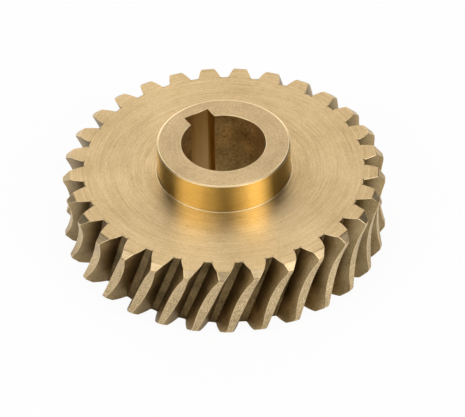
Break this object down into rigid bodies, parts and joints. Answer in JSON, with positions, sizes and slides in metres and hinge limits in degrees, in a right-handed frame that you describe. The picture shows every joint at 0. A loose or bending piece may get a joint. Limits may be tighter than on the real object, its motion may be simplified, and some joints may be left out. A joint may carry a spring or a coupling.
{
  "type": "worm gear",
  "caption": "Bronze worm wheel in one piece: throated right-hand helical teeth round a flat turned disc, with a hub on one side, a plain bore and a square keyway",
  "frame": {"origin": "on the bore's axis, in the plane of the flat face that has no hub", "axes": "+Z runs along the bore's axis, from the plain flat face to the hub's end, and the keyway lies on the +Y side of the bore"},
  "size_m": [0.0964, 0.0963, 0.034],
  "materials": {
    "bronze": "bare bronze, turned faces and hub, cut teeth"
  },
  "bodies": {
    "root": {"worm_gear": "bronze"}
  },
  "joints": []
}
